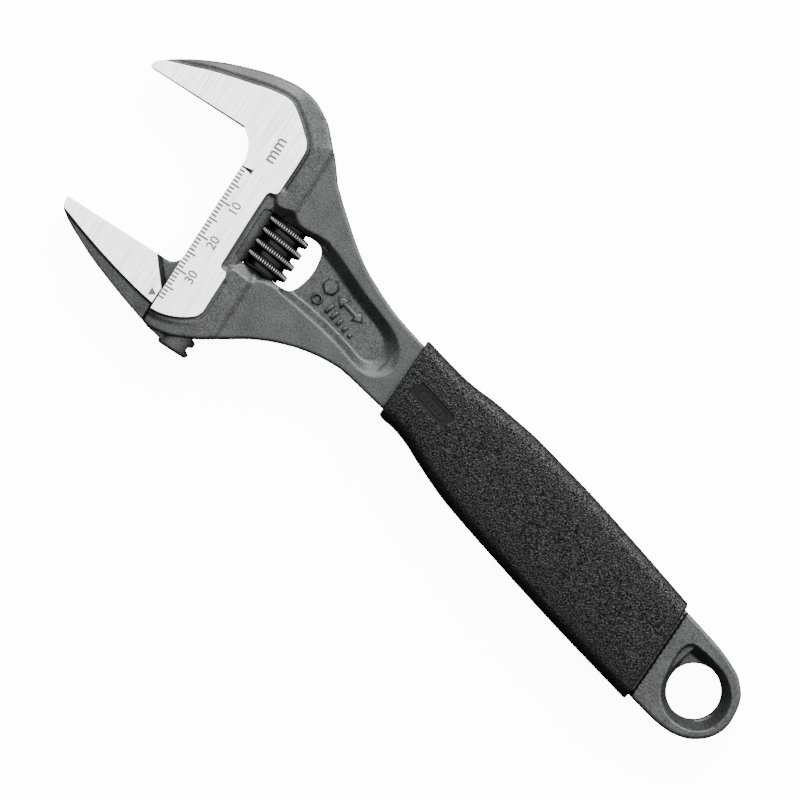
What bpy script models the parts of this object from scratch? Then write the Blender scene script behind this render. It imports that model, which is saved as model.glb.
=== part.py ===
"""Adjustable wrench, wide opening: forged body, sliding jaw, worm knurl on its pin, spring and moulded grip.

Lengths are in millimetres and are turned into metres by MM when an object is made.
Two drawing frames are used, both in the wrench's mid-plane:
  handle frame: origin at the hanging hole, x towards the head, y towards the movable jaw's side
  head frame:   origin where the fixed jaw's contact plane meets the throat, turned by HEAD_ANGLE,
                u out along the jaws, v along the slide towards the movable jaw
The finished wrench lies flat, with the origin under the middle of its footprint.
"""

import math

import bmesh
import bpy
from mathutils import Matrix, Vector

MM = 0.001

# Driving dimensions
HEAD_ANGLE = math.radians(15.0)
HEAD_ORIGIN = (174.15, -13.2)
CONTACT_V = 38.2
CLEARANCE = 0.3

# Half thicknesses, measured from the mid-plane
CORE_HALF = 4.4
EYE_HALF = 5.25
NECK_HALF = 5.2
HEAD_HALF = 5.9
FACE_HALF = 6.5
TIP_HALF = 3.3
TAPER_START = 5.0
POCKET_FLOOR = 2.6
GRIP_HALF = 8.0

# Hanging eye
HOLE_RADIUS = 7.0
EYE_RECESS = 1.4

# Slide: round rack barrel in a bore, joined to the jaw by a flat web in a slot
BARREL_U = -9.3
BARREL_RADIUS = 4.2
BARREL_ENDS = (14.5, 56.7)
BARREL_CHAMFER = 1.0
BORE_RADIUS = 4.5
WEB_HALF = 2.4
SLOT_HALF = 2.7
THROAT_U = 0.4
JAW_GAP = 0.35

# Knurl: a single-start worm that turns on a pin and drives the rack
KNURL_U = -17.9
KNURL_RADIUS = 6.2
KNURL_ROOT = 4.1
KNURL_ENDS = (14.55, 28.2)
THREAD_PITCH = 3.28
THREAD_AT_RACK = 15.1
THREAD_WIDTH_ROOT = 1.9
THREAD_WIDTH_TIP = 1.2
THREAD_STEPS = 32
RACK_CLEARANCE = 0.22
END_COLLAR = 0.5
END_CONE = 1.6
WINDOW_ENDS = (14.2, 28.6)

# Pin and spring
PIN_RADIUS = 1.6
PIN_HEAD_RADIUS = 2.4
PIN_HEAD = (38.5, 46.2)
PIN_TIP = 8.6
PIN_SLOT = (0.8, 1.2)
PIN_FIT = 0.25
SPRING_WIRE = 0.5
SPRING_MEAN_RADIUS = 2.3
SPRING_COILS = 5
SPRING_POCKET_RADIUS = 2.85
SPRING_POCKET_DEPTH = 5.6

# Grip: both ends are cut parallel to the slide
GRIP_ROUND = 3.4
BADGE = ((90.9, -1.9), (102.3, 2.1))
BADGE_DEPTH = 0.5

# Rounding of the forged edges
NECK_ROUND = 0.7
BOSS_ROUND = 0.4
EYE_ROUND = 0.8
BLADE_ROUND = 0.5

CORNER, SMOOTH = "VECTOR", "AUTO"


def from_head(u, v):
    """A point of the head frame, in the handle frame."""
    c, s = math.cos(HEAD_ANGLE), math.sin(HEAD_ANGLE)
    return HEAD_ORIGIN[0] + u * c - v * s, HEAD_ORIGIN[1] + u * s + v * c


def in_head(points):
    return [(*from_head(u, v), kind) for u, v, kind in points]


def arc(centre, radius, start, end, steps):
    """Smooth outline points along an arc, angles in degrees."""
    found = []
    for i in range(steps + 1):
        a = math.radians(start + (end - start) * i / steps)
        found.append((centre[0] + radius * math.cos(a), centre[1] + radius * math.sin(a), SMOOTH))
    return found


def corners(points):
    return [(x, y, CORNER) for x, y in points]


def smooth(points):
    return [(x, y, SMOOTH) for x, y in points]


# ---------------------------------------------------------------- scene and helpers


def clear_scene():
    for obj in list(bpy.data.objects):
        bpy.data.objects.remove(obj, do_unlink=True)


def new_collection(name):
    collection = bpy.data.collections.new(name)
    bpy.context.scene.collection.children.link(collection)
    return collection


def material(name, colour, metallic, roughness):
    made = bpy.data.materials.new(name)
    made.use_nodes = True
    shader = made.node_tree.nodes["Principled BSDF"]
    shader.inputs["Base Color"].default_value = (*colour, 1.0)
    shader.inputs["Metallic"].default_value = metallic
    shader.inputs["Roughness"].default_value = roughness
    return made


def mesh_object(name, data, collection):
    obj = bpy.data.objects.new(name, data)
    collection.objects.link(obj)
    return obj


def as_cutter(obj):
    obj.hide_render = True
    obj.display_type = "WIRE"
    return obj


def finish_mesh(made, mesh):
    """Writes a closed bmesh to a mesh with its faces pointing out."""
    bmesh.ops.recalc_face_normals(made, faces=made.faces)
    if made.calc_volume(signed=True) < 0:
        bmesh.ops.reverse_faces(made, faces=made.faces)
    made.to_mesh(mesh)
    made.free()


def mesh_from(obj, collection):
    """Replaces an evaluated curve or modifier stack with one plain mesh, its seams and caps welded."""
    bpy.context.view_layer.update()
    graph = bpy.context.evaluated_depsgraph_get()
    mesh = bpy.data.meshes.new_from_object(obj.evaluated_get(graph))
    made = bmesh.new()
    made.from_mesh(mesh)
    bmesh.ops.remove_doubles(made, verts=made.verts, dist=1e-6)
    finish_mesh(made, mesh)
    mesh.transform(obj.matrix_world)
    name = obj.name
    bpy.data.objects.remove(obj, do_unlink=True)
    return mesh_object(name, mesh, collection)


def plate(name, outline, low, high, collection, resolution=4):
    """A flat outline in the handle frame, made solid from height low to height high."""
    curve = bpy.data.curves.new(name, "CURVE")
    curve.dimensions = "2D"
    curve.fill_mode = "BOTH"
    curve.resolution_u = resolution
    curve.extrude = (high - low) / 2 * MM
    spline = curve.splines.new("BEZIER")
    spline.bezier_points.add(len(outline) - 1)
    spline.use_cyclic_u = True
    for point, (x, y, kind) in zip(spline.bezier_points, outline):
        point.co = (x * MM, y * MM, 0)
        point.handle_left_type = point.handle_right_type = kind
    obj = mesh_object(name, curve, collection)
    obj.location.z = (high + low) / 2 * MM
    return mesh_from(obj, collection)


def bevel(obj, width, segments=1, angle=40):
    modifier = obj.modifiers.new("edges", "BEVEL")
    modifier.width = width * MM
    modifier.segments = segments
    modifier.limit_method = "ANGLE"
    modifier.angle_limit = math.radians(angle)
    return obj


def boolean(obj, operation, other):
    modifier = obj.modifiers.new(f"{operation.lower()}_{other.name}", "BOOLEAN")
    modifier.operation = operation
    modifier.object = other
    modifier.solver = "EXACT"
    return obj


def apply_modifiers(obj):
    """Turns the object's modifiers into its mesh, so that later steps can place or cut it."""
    bpy.context.view_layer.update()
    graph = bpy.context.evaluated_depsgraph_get()
    mesh = bpy.data.meshes.new_from_object(obj.evaluated_get(graph))
    obj.modifiers.clear()
    obj.data = mesh
    return obj


def turned(name, profile, u, collection, steps=48):
    """A solid turned about a line along the slide at u: profile is [(radius, v), ...], from low v to high."""
    points = [(0, profile[-1][1]), *reversed(profile), (0, profile[0][1])]
    mesh = bpy.data.meshes.new(name)
    mesh.from_pydata([(r * MM, v * MM, 0) for r, v in points], [(i, i + 1) for i in range(len(points) - 1)], [])
    obj = mesh_object(name, mesh, collection)
    screw = obj.modifiers.new("turn", "SCREW")
    screw.axis = "Y"
    screw.steps = screw.render_steps = steps
    screw.use_merge_vertices = True
    screw.merge_threshold = 1e-5
    obj.matrix_world = head_matrix() @ Matrix.Translation((u * MM, 0, 0))
    return mesh_from(obj, collection)


def head_matrix():
    x, y = HEAD_ORIGIN
    return Matrix.Translation((x * MM, y * MM, 0)) @ Matrix.Rotation(HEAD_ANGLE, 4, "Z")


def box(name, low, high, collection, matrix=None):
    """A box between two corners of the handle frame, or of the frame that matrix gives."""
    bpy.ops.mesh.primitive_cube_add(size=1)
    obj = bpy.context.object
    obj.name = name
    for other in list(obj.users_collection):
        other.objects.unlink(obj)
    collection.objects.link(obj)
    low, high = Vector(low) * MM, Vector(high) * MM
    size = high - low
    scale = Matrix.Diagonal((*size, 1))
    obj.data.transform((matrix or Matrix.Identity(4)) @ Matrix.Translation((low + high) / 2) @ scale)
    return obj


def worm(name, v_ends, radii, widths, collection):
    """A left-handed single thread on a core, as one closed strip wound along the knurl's axis."""
    root, tip = radii
    at_root, at_tip = widths
    corners_of_turn = ((-at_root / 2, root), (-at_tip / 2, tip), (at_tip / 2, tip), (at_root / 2, root))
    turns = math.ceil((v_ends[1] - v_ends[0]) / THREAD_PITCH) + 2
    first = THREAD_AT_RACK + THREAD_PITCH * math.floor((v_ends[0] - THREAD_AT_RACK) / THREAD_PITCH - 1)
    made = bmesh.new()
    rows = []
    for step in range(turns * THREAD_STEPS + 1):
        a = 2 * math.pi * step / THREAD_STEPS
        v = first + THREAD_PITCH * step / THREAD_STEPS
        row = []
        for dv, radius in corners_of_turn:
            row.append(made.verts.new((radius * math.cos(a) * MM, (v + dv) * MM, radius * math.sin(a) * MM)))
        rows.append(row)
    for step, (row, following) in enumerate(zip(rows, rows[1:])):
        for j in range(3):
            made.faces.new((row[j], row[j + 1], following[j + 1], following[j]))
        if step + THREAD_STEPS + 1 < len(rows):
            above, beyond = rows[step + THREAD_STEPS], rows[step + THREAD_STEPS + 1]
            made.faces.new((row[3], above[0], beyond[0], following[3]))
    starts = [row[0] for row in rows[:THREAD_STEPS + 1]] + rows[0][:0:-1]
    ends = [row[3] for row in rows[-THREAD_STEPS - 1:]] + rows[-1][2::-1]
    for rim, v in ((starts, first - THREAD_PITCH), (ends, first + THREAD_PITCH * (turns + 1))):
        centre = made.verts.new((0, v * MM, 0))
        for i, vert in enumerate(rim):
            made.faces.new((centre, vert, rim[(i + 1) % len(rim)]))
    bmesh.ops.triangulate(made, faces=made.faces)
    mesh = bpy.data.meshes.new(name)
    finish_mesh(made, mesh)
    mesh.transform(head_matrix() @ Matrix.Translation((KNURL_U * MM, 0, 0)))
    return mesh_object(name, mesh, collection)


# ---------------------------------------------------------------- outlines

MOUTH = in_head(
    corners([(60, 0), (5.2, 0)])
    + smooth([(3.0, 1.8), (1.7, 3.4), (0.9, 5.2)])
    + corners([(THROAT_U, 7.2), (THROAT_U, 75), (60, 75)])
)
FIXED_JAW_EDGE = [
    (-29, 6), (-26, 3), (-22, -0.6), (-18, -5.6), (-14, -9.8), (-10, -13.2), (-6, -15), (-2, -15.7),
    (4, -15.2), (12, -13), (20, -9.9), (28, -5.5), (32.3, -2.2), (33, -0.3),
]
LOWER_HEAD_EDGE = [
    (1.5, 54), (-2, 54.7), (-6, 54.1), (-10, 52.6), (-14, 50.5), (-20, 46.6), (-28, 42), (-36, 39.2),
    (-44, 38), (-50, 38),
]
HEAD_PLATE = (
    corners([(104.5, -8.2)])
    + smooth([(116, -8.2), (124, -8.9), (132, -10.4), (140, -13.3)])
    + in_head(smooth(FIXED_JAW_EDGE) + corners([(33, 4), (8, 8), (6, 52)]) + smooth(LOWER_HEAD_EDGE))
    + corners([(112, 10.1), (104.5, 9.9)])
)
BOSS_PLATE = in_head(
    smooth([(-15.5, -7.6), (-10, -12.8), (-2, -15.3), (4, -14.8), (12, -12.6), (20, -9.5), (28, -5.1)])
    + corners([(32.6, -1.4), (33.6, 3.4), (9, 9), (7, 51.4)])
    + smooth([(1.5, 53.6), (-2, 54.2), (-6, 53.6), (-10, 52.1)])
    + corners([(-15.5, 48.9)])
)
FIXED_FACE = in_head(
    smooth([(30.3, -4.2), (26, -5.4), (20, -7.3), (14, -8.9), (8, -10.3), (2, -11.4), (-1.5, -11.4), (-5, -9.3)])
    + smooth([(-9, -5.9), (-11.1, -2.5)])
    + corners([(-11.1, 9), (-10.3, 10), (-8.8, 10.8), (-8.6, 32.4), (-11.1, 33.4), (-11.1, 44.3)])
    + smooth([(-8, 47.9), (-4, 49.8)])
    + corners([(1.5, 50.6), (8, 50), (10, 10), (34.2, 3), (32.4, -2.4)])
)
WINDOW = in_head(
    corners([(-10.3, WINDOW_ENDS[0]), (-24, WINDOW_ENDS[0])])
    + smooth([(-27.4, 16), (-28.7, 20), (-28.4, 24.5), (-26.8, 27.6)])
    + corners([(-24, WINDOW_ENDS[1]), (-10.3, WINDOW_ENDS[1])])
)
SLOT = in_head(
    corners([(BARREL_U, -6.4), (-4.6, -5.7), (0.3, -3.1), (1.2, -1.9), (2.4, -1.0), (3.4, -0.6), (4.4, -0.2)])
    + corners([(9, -0.2), (9, 75), (BARREL_U, 75)])
)
POCKET = (
    smooth([(110.2, 0), (111, -3), (116, -5), (126, -5.6), (136, -6.8)])
    + corners([(142, -7.7), (150, -6.2), (144.5, 11.2)])
    + smooth([(138, 8.8), (126, 7.2), (115.5, 6.8), (111, 4.6)])
)
EYE_PLATE = (
    smooth([(-12, 0), (-11, -4.5), (-8.5, -8.5), (-4, -11), (1, -11.8)])
    + corners([(8, -12.1), (20, -12.1), (20, 12.5), (8, 12.5)])
    + smooth([(1, 12.1), (-4, 11), (-8.3, 8.6), (-11, 4.5)])
)
EYE_POCKET = smooth([
    (-9.7, 0), (-7, 6.7), (-1, 9), (5, 7), (8.4, 1), (9.8, -5.5), (8.3, -8.4), (3, -9), (-3, -8.9), (-8, -5.6),
])
CORE_PLATE = corners([(6, -9), (16, -11), (96, -8), (125, -7.5), (125, 8), (96, 9), (16, 12), (6, 9)])
GRIP_PLATE = (
    corners([(16.9, -13.0), (18.4, -13.7)])
    + smooth([(36, -14), (54, -14.1), (64, -13.8), (74, -13.4), (87, -11.8), (96, -10.3)])
    + corners([(107.6, -9.95), (108.9, -8.6), (104.1, 10.2), (102.6, 11.6)])
    + smooth([(94, 11.6), (82, 13.6), (67, 14.5), (50, 14.7), (32, 14.6)])
    + corners([(11.8, 14.0), (10.6, 12.7)])
)
# The hole through the grip, CLEARANCE larger than the forging inside it.
GRIP_TUNNEL = corners([
    (6, -12.8), (20.3, -12.8), (20.3, -11.3), (96, -8.5), (125, -8.5), (125, 10), (104, 10.2), (96, 9.6),
    (20.3, 12.3), (20.3, 12.9), (6, 12.9),
])
MOVING_PLATE = in_head(
    corners([(-3, 46), (-3, 36), (32.95, 36), (32.8, 40.6)])
    + smooth([(31.5, 42), (28, 44.1), (20, 47.8), (12, 50.7), (4, 53.2)])
    + corners([(-3, 55.3)])
)
MOVING_FACE = in_head(
    corners([(-4, 48), (-4, 35), (32.9, 35), (32.3, 41.2)])
    + smooth([(26, 43.1), (20, 44.9), (14, 46.5), (8, 47.9)])
    + corners([(-4, 50.1)])
)
JAW_U = THROAT_U + JAW_GAP
JAW_TRIM = in_head(corners([
    (JAW_U, 75), (JAW_U, 44.9), (6.3, CONTACT_V), (60, CONTACT_V), (60, -10), (-40, -10), (-40, 75),
]))
WEB_PLATE = in_head(
    corners([(BARREL_U + 1, 31.2), (-4.6, 33), (0.4, 35.6), (1.2, 36.9), (2.4, 37.9), (4.0, 38.4), (8, 38.6)])
    + corners([(8, 48), (3, 53.0), (-1, 54.9), (-5, 55.6), (BARREL_U + 1, 56.2)])
)


# ---------------------------------------------------------------- pieces


def tapers(cutters):
    """Wedges that thin both jaws from the crease at TAPER_START towards their tips."""
    made = []
    slope = math.atan((FACE_HALF - TIP_HALF) / (33 - TAPER_START))
    for side in (1, -1):
        turn = Matrix.Rotation(side * slope, 4, "Y")
        place = head_matrix() @ Matrix.Translation((TAPER_START * MM, 0, side * FACE_HALF * MM)) @ turn
        low, high = ((0, -40, 0), (60, 90, 12)) if side > 0 else ((0, -40, -12), (60, 90, 0))
        made.append(as_cutter(box(f"taper_{side}", low, high, cutters, place)))
    return made


def build_body(parts, cutters, wedges):
    body = plate("body", HEAD_PLATE, -NECK_HALF, NECK_HALF, parts)
    bevel(body, NECK_ROUND)
    layers = [
        bevel(plate("boss", BOSS_PLATE, -HEAD_HALF, HEAD_HALF, cutters), BOSS_ROUND),
        plate("fixed_face", FIXED_FACE, -FACE_HALF, FACE_HALF, cutters),
        plate("core", CORE_PLATE, -CORE_HALF, CORE_HALF, cutters),
        bevel(plate("eye", EYE_PLATE, -EYE_HALF, EYE_HALF, cutters), EYE_ROUND),
    ]
    for layer in layers:
        boolean(body, "UNION", as_cutter(layer))
    cuts = []
    for side in (1, -1):
        ends = sorted((side * POCKET_FLOOR, side * 15))
        cuts.append(plate(f"neck_pocket_{side}", POCKET, *ends, cutters))
        ends = sorted((side * (EYE_HALF - EYE_RECESS), side * 14))
        cuts.append(plate(f"eye_pocket_{side}", EYE_POCKET, *ends, cutters))
    cuts.append(plate("hang_hole", arc((0, 0), HOLE_RADIUS, 0, 345, 23), -21, 21, cutters, 2))
    cuts += [plate("mouth", MOUTH, -20, 20, cutters), *wedges]
    cuts.append(plate("window", WINDOW, -19, 19, cutters))
    cuts.append(plate("web_slot", SLOT, -SLOT_HALF, SLOT_HALF, cutters))
    cuts.append(turned("bore", [(BORE_RADIUS, -30), (BORE_RADIUS, 75)], BARREL_U, cutters))
    hole = PIN_RADIUS + PIN_FIT
    head_hole = PIN_HEAD_RADIUS + PIN_FIT
    step = PIN_HEAD[0] - CLEARANCE
    cuts.append(turned("pin_hole", [(hole, PIN_TIP - 0.4), (hole, step), (head_hole, step), (head_hole, 75)],
                       KNURL_U, cutters, 32))
    for cutter in cuts:
        boolean(body, "DIFFERENCE", as_cutter(cutter))
    return apply_modifiers(body)


def build_jaw(parts, cutters, wedges):
    jaw = plate("movable_jaw", WEB_PLATE, -WEB_HALF, WEB_HALF, parts)
    low, high = BARREL_ENDS
    flat = BARREL_RADIUS - BARREL_CHAMFER
    profile = [(flat, low), (BARREL_RADIUS, low + BARREL_CHAMFER), (BARREL_RADIUS, high - 0.5),
               (BARREL_RADIUS - 0.5, high)]
    blade = bevel(plate("moving_plate", MOVING_PLATE, -HEAD_HALF, HEAD_HALF, cutters), BLADE_ROUND)
    boolean(blade, "UNION", as_cutter(plate("moving_face", MOVING_FACE, -FACE_HALF, FACE_HALF, cutters)))
    boolean(blade, "DIFFERENCE", as_cutter(plate("jaw_trim", JAW_TRIM, -20, 20, cutters)))
    boolean(jaw, "UNION", as_cutter(blade))
    boolean(jaw, "UNION", as_cutter(turned("barrel", profile, BARREL_U, cutters, 40)))
    radii = (KNURL_ROOT, KNURL_RADIUS + RACK_CLEARANCE)
    widths = (THREAD_WIDTH_ROOT + 2 * RACK_CLEARANCE, THREAD_WIDTH_TIP + 2 * RACK_CLEARANCE)
    rack = worm("rack_cutter", (low - 4, high + 4), radii, widths, cutters)
    for cutter in (*wedges, rack):
        boolean(jaw, "DIFFERENCE", as_cutter(cutter))
    return apply_modifiers(jaw)


def build_knurl(parts, cutters):
    knurl = worm("knurl", KNURL_ENDS, (KNURL_ROOT, KNURL_RADIUS), (THREAD_WIDTH_ROOT, THREAD_WIDTH_TIP), parts)
    low, high = KNURL_ENDS
    rim, over = KNURL_ROOT + END_COLLAR, KNURL_RADIUS + 1
    shape = turned("knurl_ends", [(rim, low), (over, low + END_CONE), (over, high - END_CONE), (rim, high)],
                   KNURL_U, cutters)
    boolean(knurl, "INTERSECT", as_cutter(shape))
    hole = PIN_RADIUS + PIN_FIT
    pocket = high - SPRING_POCKET_DEPTH
    drill = turned("knurl_bore", [(hole, low - 5), (hole, pocket), (SPRING_POCKET_RADIUS, pocket),
                                  (SPRING_POCKET_RADIUS, high + 5)], KNURL_U, cutters, 32)
    boolean(knurl, "DIFFERENCE", as_cutter(drill))
    return apply_modifiers(knurl)


def build_pin(parts, cutters):
    low, high = PIN_HEAD
    pin = turned("knurl_pin", [(PIN_RADIUS - 0.4, PIN_TIP), (PIN_RADIUS, PIN_TIP + 0.6), (PIN_RADIUS, low),
                               (PIN_HEAD_RADIUS, low), (PIN_HEAD_RADIUS, high - 0.4),
                               (PIN_HEAD_RADIUS - 0.4, high)], KNURL_U, parts, 32)
    width, depth = PIN_SLOT
    slot = box("driver_slot", (-width / 2, high - depth, -9), (width / 2, high + 9, 9), cutters,
               head_matrix() @ Matrix.Translation((KNURL_U * MM, 0, 0)))
    boolean(pin, "DIFFERENCE", as_cutter(slot))
    return apply_modifiers(pin)


def build_spring(parts):
    """A round wire wound on the pin, inside the counterbore of the knurl."""
    start = KNURL_ENDS[1] - SPRING_POCKET_DEPTH + CLEARANCE + SPRING_WIRE / 2
    end = WINDOW_ENDS[1] - 0.25 - SPRING_WIRE / 2
    steps = 16 * SPRING_COILS
    curve = bpy.data.curves.new("knurl_spring", "CURVE")
    curve.dimensions = "3D"
    curve.bevel_depth = SPRING_WIRE / 2 * MM
    curve.bevel_resolution = 2
    curve.use_fill_caps = True
    spline = curve.splines.new("POLY")
    spline.points.add(steps)
    for i, point in enumerate(spline.points):
        a = 2 * math.pi * SPRING_COILS * i / steps
        v = start + (end - start) * i / steps
        point.co = (SPRING_MEAN_RADIUS * math.cos(a) * MM, v * MM, SPRING_MEAN_RADIUS * math.sin(a) * MM, 1)
    obj = mesh_object("knurl_spring", curve, parts)
    obj.matrix_world = head_matrix() @ Matrix.Translation((KNURL_U * MM, 0, 0))
    return mesh_from(obj, parts)


def build_grip(parts, cutters):
    grip = plate("grip_sleeve", GRIP_PLATE, -GRIP_HALF, GRIP_HALF, parts)
    bevel(grip, GRIP_ROUND, 3, 60)
    half = NECK_HALF + CLEARANCE
    boolean(grip, "DIFFERENCE", as_cutter(plate("tunnel", GRIP_TUNNEL, -half, half, cutters)))
    (left, below), (right, above) = BADGE
    badge = box("badge_recess", (left, below, GRIP_HALF - BADGE_DEPTH), (right, above, GRIP_HALF + 5), cutters)
    boolean(grip, "DIFFERENCE", as_cutter(badge))
    return apply_modifiers(grip)


# ---------------------------------------------------------------- assembly


def settle(objects):
    """Puts the origin of the finished frame under the middle of the whole wrench."""
    points = [obj.matrix_world @ vertex.co for obj in objects for vertex in obj.data.vertices]
    low = Vector([min(p[i] for p in points) for i in range(3)])
    high = Vector([max(p[i] for p in points) for i in range(3)])
    shift = Matrix.Translation((-(low.x + high.x) / 2, -(low.y + high.y) / 2, -low.z))
    for obj in objects:
        obj.data.transform(shift)
    return shift


def move_origin(obj, point):
    obj.data.transform(Matrix.Translation(-point))
    obj.location = point


def main():
    clear_scene()
    parts = new_collection("adjustable_wrench")
    cutters = new_collection("cutters")
    cutters.hide_render = True
    wedges = tapers(cutters)
    forged = material("forged_steel", (0.17, 0.18, 0.19), 1.0, 0.42)
    ground = material("ground_steel", (0.62, 0.63, 0.64), 1.0, 0.3)
    oxide = material("black_oxide_steel", (0.02, 0.02, 0.022), 0.9, 0.35)
    zinc = material("zinc_plated_steel", (0.5, 0.51, 0.52), 1.0, 0.35)
    spring_steel = material("spring_steel", (0.35, 0.35, 0.36), 1.0, 0.3)
    rubber = material("moulded_grip", (0.015, 0.015, 0.016), 0.0, 0.6)
    made = {
        build_body(parts, cutters, wedges): forged,
        build_jaw(parts, cutters, wedges): ground,
        build_knurl(parts, cutters): oxide,
        build_pin(parts, cutters): zinc,
        build_spring(parts): spring_steel,
        build_grip(parts, cutters): rubber,
    }
    for obj, shade in made.items():
        obj.data.materials.clear()
        obj.data.materials.append(shade)
    shift = settle(list(made))
    axis = shift @ head_matrix()
    for obj in made:
        if obj.name == "movable_jaw":
            move_origin(obj, axis @ Vector((BARREL_U * MM, (BARREL_ENDS[0] + BARREL_ENDS[1]) / 2 * MM, 0)))
        if obj.name in ("knurl", "knurl_pin", "knurl_spring"):
            move_origin(obj, axis @ Vector((KNURL_U * MM, sum(KNURL_ENDS) / 2 * MM, 0)))


main()
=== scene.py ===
"""The looks of the adjustable wrench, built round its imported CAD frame.

Lengths in the modelling code are millimetres. The plan is drawn in the handle frame (origin at the hanging
hole, x to the head, y to the movable jaw) or in the head frame (u out along the jaws, v along the slide), and
heights are measured from the mid-plane.
"""

import math

import bmesh
import bpy
import numpy as np
from mathutils import Matrix, Vector

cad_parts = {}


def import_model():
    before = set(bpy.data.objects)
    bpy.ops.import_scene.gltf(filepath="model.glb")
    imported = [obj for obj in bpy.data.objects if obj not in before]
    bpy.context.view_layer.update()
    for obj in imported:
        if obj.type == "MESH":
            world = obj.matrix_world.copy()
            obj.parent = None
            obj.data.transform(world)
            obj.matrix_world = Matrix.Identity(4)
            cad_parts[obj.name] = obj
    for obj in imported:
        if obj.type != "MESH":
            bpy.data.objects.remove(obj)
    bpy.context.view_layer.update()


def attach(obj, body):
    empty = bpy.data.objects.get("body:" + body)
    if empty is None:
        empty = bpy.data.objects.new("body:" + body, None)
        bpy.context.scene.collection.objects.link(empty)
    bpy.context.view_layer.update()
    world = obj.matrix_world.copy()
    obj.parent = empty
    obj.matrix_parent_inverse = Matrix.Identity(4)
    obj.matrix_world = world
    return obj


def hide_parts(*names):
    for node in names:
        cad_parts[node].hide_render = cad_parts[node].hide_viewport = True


MM = 0.001
HANDLE_ORIGIN = (-97.109, -5.43, 8.0)
HEAD_ORIGIN = (174.15, -13.2)
HEAD_ANGLE = math.radians(15.0)
COS, SIN = math.cos(HEAD_ANGLE), math.sin(HEAD_ANGLE)

NECK_HALF, HEAD_HALF, FACE_HALF = 5.0, 5.8, 6.48
STRIP_HALF, POCKET_HALF = 4.95, 2.5
TAPER_U, TAPER_SLOPE = 5.0, 0.114
CONTACT_V = 38.2
BARREL_U, BARREL_R, BORE_R = -9.3, 4.27, 4.42
BARREL_ENDS = (13.6, 56.7)
KNURL_U, KNURL_R, KNURL_ROOT, KNURL_CORE = -17.9, 6.17, 4.1, 4.4
KNURL_ENDS = (14.2, 28.6)
PITCH, THREAD_V = 3.28, 15.1


# ---------------------------------------------------------------- frames and outlines


def head(points):
    return [(HEAD_ORIGIN[0] + u * COS - v * SIN, HEAD_ORIGIN[1] + u * SIN + v * COS, *rest)
            for u, v, *rest in points]


def to_head(x, y):
    x, y = x - HEAD_ORIGIN[0], y - HEAD_ORIGIN[1]
    return x * COS + y * SIN, y * COS - x * SIN


def place():
    """Handle-frame millimetres to the row frame's metres."""
    return Matrix.Diagonal((MM, MM, MM, 1)) @ Matrix.Translation(HANDLE_ORIGIN)


def place_head():
    return place() @ Matrix.Translation((*HEAD_ORIGIN, 0)) @ Matrix.Rotation(HEAD_ANGLE, 4, "Z")


def sharp(points):
    return [(*p, 0) for p in points]


def soft(points):
    return [(*p, 1) for p in points]


def traced(points, steps=7):
    """A closed outline: straight between sharp points, a smooth curve through soft ones."""
    p = np.array([q[:2] for q in points], float)
    is_soft = [q[2] for q in points]
    count = len(p)
    found = []
    for i in range(count):
        j = (i + 1) % count
        step = p[j] - p[i]
        length = np.linalg.norm(step)
        ends = []
        for k in (i, j):
            along = p[(k + 1) % count] - p[k - 1] if is_soft[k] else step
            ends.append(along / np.linalg.norm(along) * length)
        if not is_soft[i] and not is_soft[j]:
            found.append(p[i][None])
            continue
        t = np.linspace(0, 1, steps, endpoint=False)[:, None]
        found.append((2 * t**3 - 3 * t**2 + 1) * p[i] + (t**3 - 2 * t**2 + t) * ends[0]
                     + (3 * t**2 - 2 * t**3) * p[j] + (t**3 - t**2) * ends[1])
    return np.concatenate(found)


def distance(outline, x, y):
    """Signed distance in the plane from a closed outline, negative inside."""
    nearest = np.full(x.shape, np.inf)
    inside = np.zeros(x.shape, bool)
    for a, b in zip(outline, np.roll(outline, -1, axis=0)):
        edge = b - a
        px, py = x - a[0], y - a[1]
        t = np.clip((px * edge[0] + py * edge[1]) / max(edge @ edge, 1e-12), 0, 1)
        nearest = np.minimum(nearest, (px - t * edge[0]) ** 2 + (py - t * edge[1]) ** 2)
        if a[1] != b[1]:
            crosses = (a[1] > y) != (b[1] > y)
            inside ^= crosses & (x < edge[0] * (y - a[1]) / edge[1] + a[0])
    return np.where(inside, -1, 1) * np.sqrt(nearest)


# ---------------------------------------------------------------- solids as distance fields


def ramp(x, low, high):
    t = np.clip((x - low) / (high - low), 0, 1)
    return t * t * (3 - 2 * t)


def slab(d, height, z, radius):
    """A plate of outline distance d and half thickness height, with rounded edges."""
    return cut_round(d, np.abs(z) - height, radius)


def union(a, b, blend=0.0):
    if not blend:
        return np.minimum(a, b)
    h = np.clip(0.5 + 0.5 * (b - a) / blend, 0, 1)
    return b + (a - b) * h - blend * h * (1 - h)


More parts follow.
